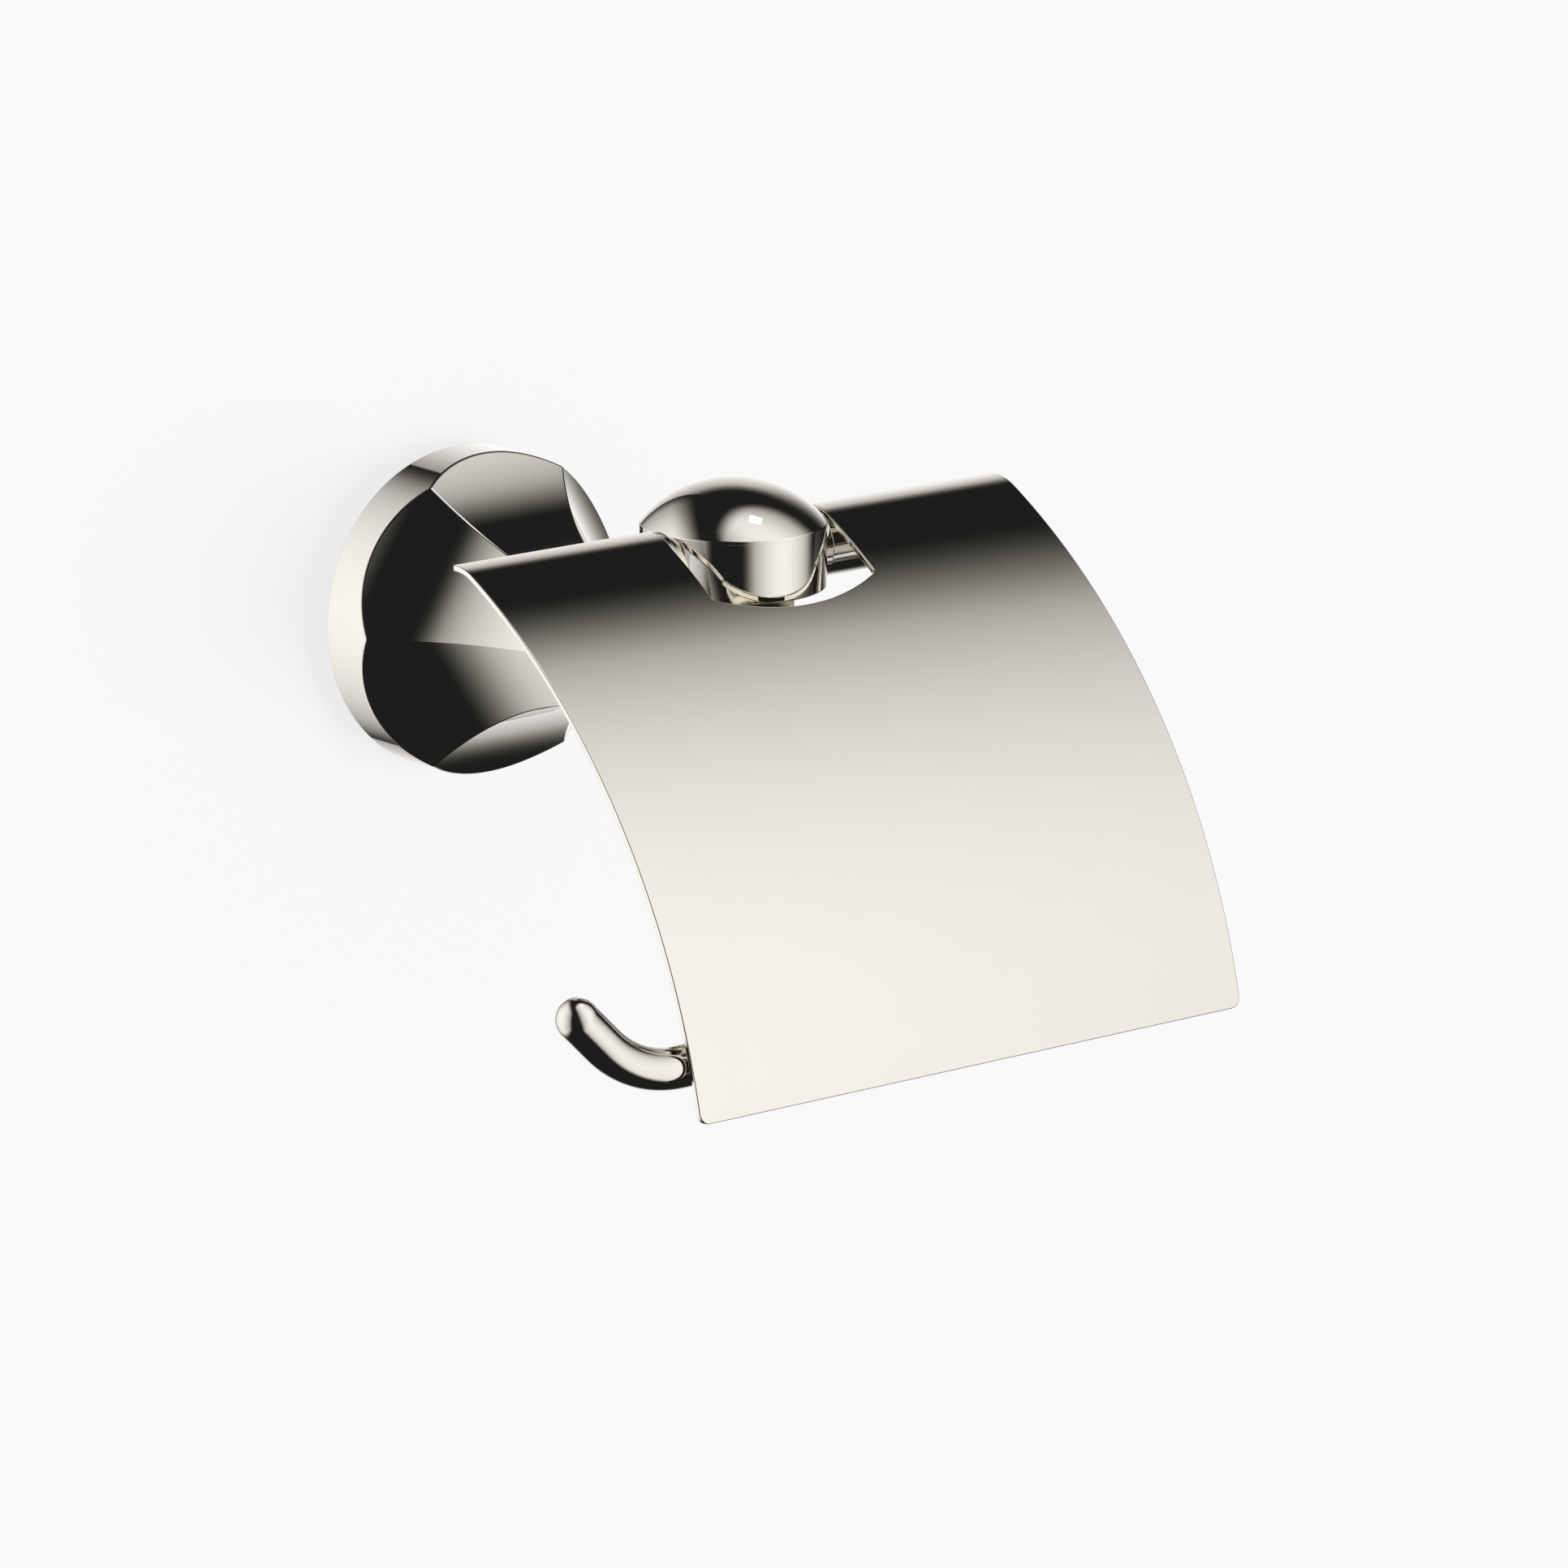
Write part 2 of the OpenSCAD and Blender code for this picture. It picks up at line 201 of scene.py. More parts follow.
def makeNickel(look):
    material, tree, shader = newMaterial("polishedNickel")
    shader.inputs["Metallic"].default_value = 1.0
    cloud, rough = addNoise(tree, look["cloudScale"], 3, look["roughLow"], look["roughHigh"])
    tree.links.new(rough.outputs["Result"], shader.inputs["Roughness"])
    addTint(tree, shader, cloud, look["colour"], look["tarnish"])
    height = addNoise(tree, look["grainScale"], 2, 0, 1)[1]
    addBump(tree, shader, height, look["grainDepth"])
    return material


steelLook = {
    "colour": (0.56, 0.57, 0.60),
    "metallic": 1.0,
    "roughLow": 0.26,
    "roughHigh": 0.36,
    "grainScale": 4200,
    "grainDepth": 0.000003,
}
rubberLook = {
    "colour": (0.018, 0.018, 0.019),
    "metallic": 0.0,
    "roughLow": 0.55,
    "roughHigh": 0.75,
    "grainScale": 2500,
    "grainDepth": 0.00001,
}
plasticLook = {
    "colour": (0.82, 0.82, 0.79),
    "metallic": 0.0,
    "roughLow": 0.30,
    "roughHigh": 0.45,
    "grainScale": 1400,
    "grainDepth": 0.000005,
}
darkerShade = 0.86      # how dark the plain finishes drift


def makePlain(name, look):
    material, tree, shader = newMaterial(name)
    shader.inputs["Metallic"].default_value = look["metallic"]
    grain, rough = addNoise(tree, look["grainScale"], 4, look["roughLow"], look["roughHigh"])
    tree.links.new(rough.outputs["Result"], shader.inputs["Roughness"])
    addTint(tree, shader, grain, look["colour"], [darkerShade * c for c in look["colour"]])
    addBump(tree, shader, rough, look["grainDepth"])
    return material


nickel = makeNickel(nickelLook)
steel = makePlain("plainSteel", steelLook)
rubber = makePlain("blackRubber", rubberLook)
plastic = makePlain("whitePlastic", plasticLook)
print("finishes made")


# rosette: a round flange that narrows to a six-sided neck
rosetteSize = {
    "flangeRadius": 30,     # all sizes of pieces are in millimetres
    "neckOut": 48.7,        # distance from the wall to the narrowest point
    "neckHalfFlats": 9.95,
    "flareRadius": 50.6,    # the hollow curve from neck to flange
    "creaseRadius": 0.45,
    "rimRadius": 0.35,
    "wallRadius": 0.3,      # rounding where the flange meets the wall
    "sealInner": 26.5,
    "sealOuter": 28.5,
    "sealDepth": 1.2,
    "cavityRadius": 24.4,
    "cavityDepth": 8.6,
    "boreRadius": 5.5,
    "boreDepth": 34,
    "boltHole": 3.2,
    "insideRadius": 0.12,
}


def halfFlats(size, out):
    # half the distance between opposite faces of the trumpet, and how fast it changes with out
    inner = math.sqrt(size["flareRadius"] ** 2 - (size["neckOut"] - out) ** 2)
    value = size["neckHalfFlats"] + size["flareRadius"] - inner
    return value, -(size["neckOut"] - out) / inner


def trumpetPoint(size, face, turn, share, out):
    # share runs along the flat of a face from -1 to 1; turn is the angle into its right crease
    flat, slope = halfFlats(size, out)
    crease = size["creaseRadius"]
    middle = math.radians(60 * face + 90)
    corner = middle + math.radians(30)
    if turn is None:
        halfLength = (flat - crease) * math.tan(math.radians(30))
        normal = Vector((math.cos(middle), 0, math.sin(middle)))
        along = Vector((-math.sin(middle), 0, math.cos(middle)))
        place = normal * flat + along * (halfLength * share)
        leaning = 1
    else:
        angle = middle + turn
        normal = Vector((math.cos(angle), 0, math.sin(angle)))
        centre = Vector((math.cos(corner), 0, math.sin(corner)))
        reach = (flat - crease) / math.cos(math.radians(30))
        place = centre * reach + normal * crease
        leaning = centre.dot(normal) / math.cos(math.radians(30))
    place.y = -out
    return place, (normal + Vector((0, slope * leaning, 0))).normalized()


def trumpetColumns(flatSteps=26, creaseSteps=6):
    # across each face and round the crease after it
    for face in range(6):
        for k in range(flatSteps + 1):
            yield face, None, 2 * k / flatSteps - 1
        for k in range(1, creaseSteps):
            yield face, math.radians(60) * k / creaseSteps, 0


def rimOut(size, column):
    # the distance from the wall at which a column of the trumpet leaves the round flange
    low, high = 0.0, size["neckOut"]
    for _ in range(50):
        middle = (low + high) / 2
        place, _normal = trumpetPoint(size, *column, middle)
        if math.hypot(place.x, place.z) > size["flangeRadius"]:
            low = middle
        else:
            high = middle
    return high


def makeRosette(size):
    shape = newShape()
    columns = []
    radius, back, wallRound = size["flangeRadius"], size["rimRadius"], size["wallRadius"]
    for column in trumpetColumns():
        edgeOut = rimOut(size, column)
        edge, _normal = trumpetPoint(size, *column, edgeOut)
        outward = Vector((edge.x, 0, edge.z)).normalized()
        rows = []
        for k in range(5):      # rounding at the wall
            angle = math.radians(90) * (1 - k / 4)
            facing = outward * math.cos(angle) + Vector((0, math.sin(angle), 0))
            place = outward * (radius - wallRound) + Vector((0, -wallRound, 0))
            rows.append((place + facing * wallRound, facing))
        start = outward * radius + Vector((0, -(edgeOut - back), 0))
        for k in range(1, 5):   # the round side of the flange
            level = -wallRound + (start.y + wallRound) * k / 4
            rows.append((outward * radius + Vector((0, level, 0)), outward))
        faceOut = edgeOut + back * 0.8
        stop, stopNormal = trumpetPoint(size, *column, faceOut)
        for k in range(1, 5):   # rounding between flange and trumpet
            t = k / 5
            place = start * (1 - t) ** 2 + edge * 2 * t * (1 - t) + stop * t ** 2
            rows.append((place, outward.slerp(stopNormal, t)))
        for k in range(41):     # the trumpet itself, out to the neck
            rows.append(trumpetPoint(size, *column, faceOut + (size["neckOut"] - faceOut) * k / 40))
        columns.append(rows)
    addRows(shape, [list(row) for row in zip(*columns)], ringed=True)
    # the inside, from the neck's bolt hole to the groove for the seal
    neck, bore, cavity, seal = (-size[k] for k in ("neckOut", "boreDepth", "cavityDepth", "sealDepth"))
    inside = roundedLine([
        (size["neckHalfFlats"] * 0.99, neck), (size["boltHole"], neck), (size["boltHole"], bore),
        (size["boreRadius"], bore), (size["boreRadius"], cavity), (size["cavityRadius"], cavity),
        (size["cavityRadius"], 0), (size["sealInner"], 0), (size["sealInner"], seal),
        (size["sealOuter"], seal), (size["sealOuter"], 0), (radius - wallRound, 0),
    ], size["insideRadius"])
    turned(shape, [(p, -n) for p, n in inside], (0, 0, 0), "y")
    return makePiece("rosetteFlange", shape, "bracket", ["rosette"], nickel)


makeRosette(rosetteSize)
print("rosette made")


# hinge block with its domed cap
blockSize = {
    "out": 80.6,            # from the wall to the block's axis
    "radius": 16.55,
    "baseHeight": 17.95,
    "seamHeight": 29.35,
    "domeHeight": 8.0,
    "lipHeight": 0.6,       # the cap's lip goes down this far over the block
    "baseHole": 6.6,
    "screwHole": 8.05,
    "edgeRadius": 0.35,
    "seamWidth": 0.03,
}


def makeBlock(size):
    centre = (0, -size["out"], 0)
    radius, seam = size["radius"], size["seamHeight"]
    lip = seam - size["lipHeight"]
    shape = newShape()
    side = roundedLine([
        (size["baseHole"], size["baseHeight"]), (radius, size["baseHeight"]), (radius, lip),
        (size["screwHole"], lip),
    ], [0, size["edgeRadius"], size["seamWidth"], 0])
    turned(shape, side, centre, "z", 192)
    makePiece("hingeBlockBody", shape, "bracket", ["hinge_block"], nickel)

    shape = newShape()
    domeRadius = (radius ** 2 + size["domeHeight"] ** 2) / (2 * size["domeHeight"])
    domeCentre = seam + size["domeHeight"] - domeRadius
    rimAngle = math.asin(radius / domeRadius)
    curve = []
    for k in range(61):
        angle = rimAngle * (1 - k / 60)
        curve.append((domeRadius * math.sin(angle), domeCentre + domeRadius * math.cos(angle)))
    outline = roundedLine([(size["screwHole"], lip), (radius, lip), *curve],
                          [0, size["seamWidth"], size["edgeRadius"]] + [0] * 60)
    exact = []
    for point, normal in outline:   # normals of the dome itself come from its centre
        onDome = abs(math.hypot(point.x, point.y - domeCentre) - domeRadius) < 1e-4
        if onDome and point.y > seam + 0.3:
            normal = Vector((point.x, point.y - domeCentre)).normalized()
        exact.append((point, normal))
    turned(shape, exact, centre, "z", 192)
    makePiece("domeCap", shape, "bracket", ["dome_cap"], nickel)


makeBlock(blockSize)
print("hinge block made")


# collars, barrels and the washer on the hinge's axis
hingeSize = {
    "height": 23.0,
    "rodRadius": 3.785,
    "rodGap": 0.05,
    "collarRadius": 6.65,
    "collarStart": 10,
    "collarEnd": 17.5,
    "barrelRadius": 6.2,
    "barrelBore": 4.9,
    "barrelStart": 17.7,
    "barrelEnd": 41.5,
    "sheetUnderside": 28.85,
    "washerRadius": 5.5,
    "washerStart": 41.9,
    "washerThick": 2.6,
    "washerHole": 2.2,
    "washerRecess": 3.7,
    "edgeRadius": 0.2,
}


def makeCollar(size, centre, side, sideName):
    shape = newShape()
    start, end = side * size["collarStart"], side * size["collarEnd"]
    outer, inner = size["collarRadius"], size["rodRadius"] + size["rodGap"]
    line = [(outer, start), (outer, end), (inner, end), (inner, start)]
    outline = roundedLine(line, [0, size["edgeRadius"], 0.1, 0])
    turned(shape, [(p, n * -side) for p, n in outline], centre, "x")
    makePiece("saddleCollar." + sideName, shape, "bracket", ["saddle_collar_" + sideName], nickel)


def makeBarrel(size, centre, side, sideName):
    shape = newShape()
    start, end = side * size["barrelStart"], side * size["barrelEnd"]
    outer, inner = size["barrelRadius"], size["barrelBore"]
    line = [(inner, start), (outer, start), (outer, end), (inner, end), (inner, start + side)]
    outline = roundedLine(line, [0, size["edgeRadius"], size["edgeRadius"], 0.1, 0])
    turned(shape, [(p, n * -side) for p, n in outline], centre, "x")
    for point in shape["points"]:   # the barrel is cut off where it meets the sheet
        point.z = min(point.z, size["sheetUnderside"] + 0.02)
    makePiece("coverBarrel." + sideName, shape, "cover", ["hinge_sleeve_" + sideName], nickel)


def makeWasher(size, centre):
    shape = newShape()
    thick, hole, recess = size["washerThick"], size["washerHole"], size["washerRecess"]
    inner, outer = -size["washerStart"], -size["washerStart"] - thick
    line = [(hole, inner), (size["washerRadius"], inner), (size["washerRadius"], outer),
            (recess, outer), (recess, outer + thick / 2), (hole, outer + thick / 2)]
    outline = roundedLine(line, [0, size["edgeRadius"], 0.5, 0.15, 0.05, 0])
    turned(shape, outline, centre, "x")
    makePiece("endWasher", shape, "bracket", ["end_washer"], nickel)


def makeHinge(size):
    centre = (0, -blockSize["out"], size["height"])
    for side, sideName in ((-1, "left"), (1, "right")):
        makeCollar(size, centre, side, sideName)
        makeBarrel(size, centre, side, sideName)
    makeWasher(size, centre)


makeHinge(hingeSize)
print("hinge made")


# roll bar: one bent rod from the hinge down the right leg to the upturned end
barSize = {
    "radius": 3.785,
    "drop": 46.5,
    "out": 140.54,
    "straightEnd": 42.0,    # where the right leg's bends start
    "legBend": 12.0,
    "tipStart": 59.7,       # where the left end starts to turn up
    "tipBend": 23.0,
    "tipAngle": 45,
    "tipStraight": 7.4,
    "hingeEnd": 41.9,
    "endHole": 2.05,
}


def barPath(size):
    # points along the middle of the rod, from the upturned end to the hinge's left end
    base = Vector((0, -size["out"], -size["drop"]))
    hinge = Vector((0, -blockSize["out"], hingeSize["height"]))
    up = (hinge - base).normalized()
    length = (hinge - base).length
    right, above = Vector((1, 0, 0)), Vector((0, 0, 1))
    bend, turn = size["tipBend"], math.radians(size["tipAngle"])

    def tipPoint(angle):
        # on the bend of the upturned end; the straight rod starts at angle 0
        reach = size["tipStart"] + bend * math.sin(angle)
        return base - right * reach + above * bend * (1 - math.cos(angle))

    away = above * math.sin(turn) - right * math.cos(turn)
    path = [tipPoint(turn) + away * size["tipStraight"] * (1 - k / 4) for k in range(4)]
    path += [tipPoint(turn * (1 - k / 18)) for k in range(19)]
    reach = size["tipStart"] + size["straightEnd"]
    path += [base + right * (reach * k / 20 - size["tipStart"]) for k in range(1, 21)]
    # the right leg is a straight between two quarter bends
    edge, leg = size["straightEnd"], size["legBend"]
    quarter = [math.radians(90) * k / 30 for k in range(1, 31)]
    for angle in quarter:
        path.append(base + right * (edge + leg * math.sin(angle)) + up * leg * (1 - math.cos(angle)))
    for k in range(1, 13):
        path.append(base + right * (edge + leg) + up * (leg + (length - 2 * leg) * k / 12))
    for angle in quarter:
        high = length - leg + leg * math.sin(angle)
        path.append(base + right * (edge + leg * math.cos(angle)) + up * high)
    reach = edge + size["hingeEnd"]
    path += [hinge + right * (edge - reach * k / 16) for k in range(1, 17)]
    return path


def makeBar(size, segments=96):
    path = barPath(size)
    shape = newShape()
    radius = size["radius"]
    tangents = []
    for i in range(len(path)):
        before = (path[i] - path[i - 1]).normalized() if i else Vector()
        after = (path[i + 1] - path[i]).normalized() if i + 1 < len(path) else Vector()
        tangents.append((before + after).normalized())
    side = tangents[0].cross(Vector((0, 1, 0))).normalized()
    rings = []
    for here, tangent in zip(path, tangents):
        side = (side - tangent * side.dot(tangent)).normalized()
        rings.append((here, tangent, side))
    rows = []
    for k in range(24):     # the round tip
        angle = math.radians(90) * (1 - k / 24)
        rows.append(tubeRing(*rings[0], radius, angle, segments))
    for ring in rings:
        rows.append(tubeRing(*ring, radius, 0, segments))
    addRows(shape, rows, ringed=True)
    # the flat end in the hinge, round its screw hole
    endRows = []
    for reach in (radius, size["endHole"]):
        ring = tubeRing(*rings[-1], reach, 0, segments)
        endRows.append([(place, rings[-1][1]) for place, _facing in ring])
    addRows(shape, endRows, ringed=True)
    return makePiece("rollBar", shape, "bracket", ["roll_bar"], nickel)


def tubeRing(here, tangent, side, radius, lean, segments):
    # lean above 0 gives the rings of the round tip, which looks back along the rod
    other = tangent.cross(side)
    row = []
    for k in range(segments):
        angle = 2 * math.pi * k / segments
        out = side * math.cos(angle) + other * math.sin(angle)
        facing = out * math.cos(lean) - tangent * math.sin(lean)
        row.append((here + facing * radius, facing))
    return row


makeBar(barSize)
print("roll bar made")


# cover: one bent sheet with a notch round the hinge block
coverSize = {
    "halfWidth": 60.8,
    "thick": 1.05,
    "radius": 124.0,        # the long curve of the sheet, and where its centre is
    "centreOut": 26.7,
    "centreDrop": 80.7,
    "topBend": 10.0,        # the tighter bend at the top
    "topHeight": 29.9,
    "backOut": 79.4,
    "lowerAngle": 11.9,
    "cornerRadius": 2.0,
    "backCorner": 0.4,
    "notchHalf": 18.1,
    "notchReach": 20.6,     # from the block's axis to the front of the notch
    "notchFront": 48.0,
    "notchCorner": 1.25,
    "notchHandOver": 9.0,   # along the sheet, where the notch's sides pass into its round front
    "edgeRadius": 0.25,
}


def coverFacts(size):
    facts = dict(size)
    rise = size["topHeight"] - size["topBend"] + size["centreDrop"]
    run = math.sqrt((size["radius"] - size["topBend"]) ** 2 - rise ** 2)
    facts["bendAngle"] = math.atan2(run, rise)
    facts["bendOut"] = size["centreOut"] + run
    facts["flat"] = facts["bendOut"] - size["backOut"]
    facts["bendLength"] = size["topBend"] * facts["bendAngle"]
    facts["mainAngle"] = math.radians(90 - size["lowerAngle"]) - facts["bendAngle"]
    facts["length"] = facts["flat"] + facts["bendLength"] + size["radius"] * facts["mainAngle"]
    return facts


def sheetPoint(facts, x, along, depth=0):
    # the point of the sheet at a distance along its outer face from the back edge, and its normal
    if along <= facts["flat"]:
        angle, radius = 0, facts["topBend"]
        centre = Vector((x, -facts["backOut"] - max(along, 0), facts["topHeight"] - radius))
    elif along <= facts["flat"] + facts["bendLength"]:
        radius = facts["topBend"]
        angle = (along - facts["flat"]) / radius
        centre = Vector((x, -facts["bendOut"], facts["topHeight"] - radius))
    else:
        radius = facts["radius"]
        angle = facts["bendAngle"] + (along - facts["flat"] - facts["bendLength"]) / radius
        centre = Vector((x, -facts["centreOut"], -facts["centreDrop"]))
    normal = Vector((0, -math.sin(angle), math.cos(angle)))
    return centre + normal * (radius - depth), normal


def sheetAlong(facts, point):
    # the distance along the sheet of a point on it
    if -point.y < facts["bendOut"]:
        return -point.y - facts["backOut"]
    angle = math.atan2(-point.y - facts["bendOut"], point.z - (facts["topHeight"] - facts["topBend"]))
    if angle < facts["bendAngle"]:
        return facts["flat"] + facts["topBend"] * angle
    angle = math.atan2(-point.y - facts["centreOut"], point.z + facts["centreDrop"])
    return facts["flat"] + facts["bendLength"] + facts["radius"] * (angle - facts["bendAngle"])


def denseLine(line, spacing):
    # (point, normal) pairs about a spacing apart, without the last one
    made = []
    for (p, n), (q, m) in zip(line, line[1:]):
        steps = max(1, int((q - p).length / spacing))
        for k in range(steps):
            made.append((p.lerp(q, k / steps), (n + (m - n) * k / steps).normalized()))
    return made


def coverOutline(facts):
    # (outer edge point, sheet normal, wall normal) all round the sheet
    half, length, notch = facts["halfWidth"], facts["length"], facts["notchHalf"]
    small, corner, handOver = facts["backCorner"], facts["cornerRadius"], facts["notchHandOver"]
    outline = []
    # the straight sides, laid out flat along the sheet
    line = [(notch, handOver), (notch, 0), (half, 0), (half, length), (-half, length), (-half, 0),
            (-notch, 0), (-notch, handOver)]
    rounded = roundedLine(line, [0, small, small, corner, corner, small, small, 0], 8)
    for p, n in denseLine(rounded, 1.2) + [rounded[-1]]:
        place, up = sheetPoint(facts, p.x, p.y)
        down = Vector((0, up.y, up.z)).cross(Vector((1, 0, 0)))
        down = down if down.z < 0 or (down.z == 0 and down.y < 0) else -down
        if p.y <= facts["flat"]:
            down = Vector((0, -1, 0))
        outline.append((place, up, (Vector((n.x, 0, 0)) + down * n.y).normalized()))
    # the notch's round front, laid out as seen from above
    reach = facts["notchFront"]
    arcCentre = blockSize["out"] + facts["notchReach"] - reach
    cornerAngle = math.asin(notch / reach)
    front = [(reach * math.sin(a), arcCentre + reach * math.cos(a))
             for a in [cornerAngle * (k / 30 - 1) for k in range(61)]]
    startOut = -sheetPoint(facts, 0, handOver)[0].y
    plan = [(-notch, startOut), *front, (notch, startOut)]
    rounded = roundedLine(plan, [0, facts["notchCorner"]] + [0] * 59 + [facts["notchCorner"], 0], 10)
    for p, n in denseLine(rounded, 1.0):
        place, up = sheetPoint(facts, p.x, sheetAlongFromOut(facts, p.y))
        outline.append((place, up, Vector((n.x, -n.y, 0)).normalized()))
    return outline


def sheetAlongFromOut(facts, out):
    # where the outer face is at a given distance from the wall
    if out <= facts["bendOut"]:
        return out - facts["backOut"]
    angle = math.asin(min(1, (out - facts["bendOut"]) / facts["topBend"]))
    if angle < facts["bendAngle"]:
        return facts["flat"] + facts["topBend"] * angle
    angle = math.asin((out - facts["centreOut"]) / facts["radius"])
    return facts["flat"] + facts["bendLength"] + facts["radius"] * (angle - facts["bendAngle"])


def insidePolygon(polygon, x, y):
    inside = False
    for (x1, y1), (x2, y2) in zip(polygon, polygon[1:] + polygon[:1]):
        if (y1 > y) != (y2 > y) and x < x1 + (y - y1) * (x2 - x1) / (y2 - y1):
            inside = not inside
    return inside


def fillSheet(shape, facts, ring, depth, sign):
    # triangles over one face of the sheet, inside a ring of vertices that is already there
    flatRing = [(shape["points"][i].x, sheetAlong(facts, shape["points"][i])) for i in ring]
    start, steps = facts["flat"] + facts["bendLength"], 110
    rows = [facts["flat"] * 0.5]
    rows += [facts["flat"] + facts["bendLength"] * k / 16 for k in range(17)]
    rows += [start + (facts["length"] - start) * k / steps for k in range(1, steps)]
    spacing, margin = 2.0, 0.35
    around = ((margin, 0), (-margin, 0), (0, margin), (0, -margin))
    kept = []
    for along in rows:
        for k in range(-30, 31):
            x = k * spacing
            if all(insidePolygon(flatRing, x + dx, along + dy) for dx, dy in around):
                kept.append((x, along))
    places = [Vector(p) for p in flatRing + kept]
    found = geometry.delaunay_2d_cdt(places, [], [list(range(len(flatRing)))], 1, 1e-5)
    numbers = []
    for place, sources in zip(found[0], found[3]):
        onRing = [i for i in sources if i < len(ring)]
        if onRing:
            numbers.append(ring[onRing[0]])
        else:
            point, up = sheetPoint(facts, place.x, place.y, depth)
            numbers.append(addVertex(shape, point, up * sign))
    for corners in found[2]:
        addFace(shape, [numbers[i] for i in corners])


def makeCover(size):
    facts = coverFacts(size)
    shape = newShape()
    radius = size["edgeRadius"]
    steps = 4
    rows = [[] for _ in range(2 * (steps + 1))]
    for edge, up, wall in coverOutline(facts):
        lean = up.dot(wall)
        down = -(up - wall * lean) / (1 - lean * lean)
        centre = edge - (up + wall) * radius / (1 + lean)
        for k in range(steps + 1):
            facing = up.slerp(wall, k / steps)
            rows[k].append((centre + facing * radius, facing))
        lower = edge + down * size["thick"]
        centre = lower - (wall - up) * radius / (1 - lean)
        for k in range(steps + 1):
            facing = wall.slerp(-up, k / steps)
            rows[steps + 1 + k].append((centre + facing * radius, facing))
    numbered = addRows(shape, rows, ringed=True)
    fillSheet(shape, facts, numbered[0], 0, 1)
    fillSheet(shape, facts, numbered[-1], size["thick"], -1)
    return makePiece("coverSheet", shape, "cover", ["cover_plate"], nickel)


makeCover(coverSize)
print("cover made")


# pieces that stay as the CAD made them, with the finishes above
keptFinish = {
    "elbow": nickel, "rosette_screw": steel, "arm_bolt": steel, "arm_washer": steel, "arm_dowel": steel,
    "block_bolt": steel, "bar_screw": steel, "end_screw": steel, "wall_plate": steel,
    "seal_ring": rubber, "bearing_left": plastic, "bearing_right": plastic,
}
for nodeName, finish in keptFinish.items():
    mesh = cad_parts[nodeName].data
    mesh.materials.clear()
    mesh.materials.append(finish)
print("kept nodes finished")


# studio: wall, floor, lights, camera
studio = {
    "backdrop": (0.947, 0.947, 0.947),      # light behind everything, as the wall shows it
    "wallGlow": 0.799,
    "floorGlow": 0.85,
    "paint": 0.05,          # how much of the lamp's light the wall gives back
    "wallReach": 3.0,       # metres
    "floorDrop": 1.2,
    "lampFrom": (1.0, -1.15, -0.30),    # from the right: the flange's soft shadow falls to the left
    "lampSpread": 38,
    "lampPower": 8.6,
}


def addPlane(name, corners, material):
    mesh = bpy.data.meshes.new(name)
    mesh.from_pydata(corners, [], [(0, 1, 2, 3)])
    mesh.materials.append(material)
    plane = bpy.data.objects.new(name, mesh)
    scene.collection.objects.link(plane)
    plane.visible_glossy = False
    return plane


def makeBackdrop(name, glowLevel, paintLevel):
    # a pale surface that glows evenly, takes only a faint shadow and is see-through from behind
    material = bpy.data.materials.new(name)
    material.use_nodes = True
    tree = material.node_tree
    tree.nodes.clear()
    output = tree.nodes.new("ShaderNodeOutputMaterial")
    glow = tree.nodes.new("ShaderNodeEmission")
    glow.inputs["Strength"].default_value = glowLevel
    paint = tree.nodes.new("ShaderNodeBsdfDiffuse")
    paint.inputs["Color"].default_value = (paintLevel, paintLevel, paintLevel, 1)
    both = tree.nodes.new("ShaderNodeAddShader")
    tree.links.new(glow.outputs[0], both.inputs[0])
    tree.links.new(paint.outputs[0], both.inputs[1])
    side = tree.nodes.new("ShaderNodeNewGeometry")
    clear = tree.nodes.new("ShaderNodeBsdfTransparent")
    shown = tree.nodes.new("ShaderNodeMixShader")
    tree.links.new(side.outputs["Backfacing"], shown.inputs[0])
    tree.links.new(both.outputs[0], shown.inputs[1])
    tree.links.new(clear.outputs[0], shown.inputs[2])
    tree.links.new(shown.outputs[0], output.inputs["Surface"])
    return material


def makeStage(look):
    reach, drop, wallAt = look["wallReach"], look["floorDrop"], 0.0002
    paint = makeBackdrop("studioWall", look["wallGlow"], look["paint"])
    wall = addPlane("studioWall", [(-reach, wallAt, -drop), (reach, wallAt, -drop),
                                   (reach, wallAt, reach), (-reach, wallAt, reach)], paint)
    paint = makeBackdrop("studioFloor", look["floorGlow"], look["paint"])
    addPlane("studioFloor", [(-reach, -reach, -drop), (reach, -reach, -drop),
                             (reach, reach, -drop), (-reach, reach, -drop)], paint)
    data = bpy.data.lights.new("wallLamp", "SUN")
    data.angle = math.radians(look["lampSpread"])
    data.energy = look["lampPower"]
    lamp = bpy.data.objects.new("wallLamp", data)
    scene.collection.objects.link(lamp)
    lamp.rotation_mode = "QUATERNION"
    lamp.rotation_quaternion = Vector(look["lampFrom"]).to_track_quat("Z", "Y")
    lamp.visible_glossy = False
    lit = bpy.data.collections.new("litByWallLamp")
    lit.objects.link(wall)
    shading = bpy.data.collections.new("shadesTheWall")
    shading.objects.link(bpy.data.objects["rosetteFlange"])
    lamp.light_linking.receiver_collection = lit
    lamp.light_linking.blocker_collection = shading


makeStage(studio)


# camera
cameraLook = {
    "place": (-0.99733, -1.33231, 0.38016),     # metres
    "aim": (0.036116, -0.050, -0.029765),
    "lens": 213.74,         # long lens, on a 36 mm sensor
}


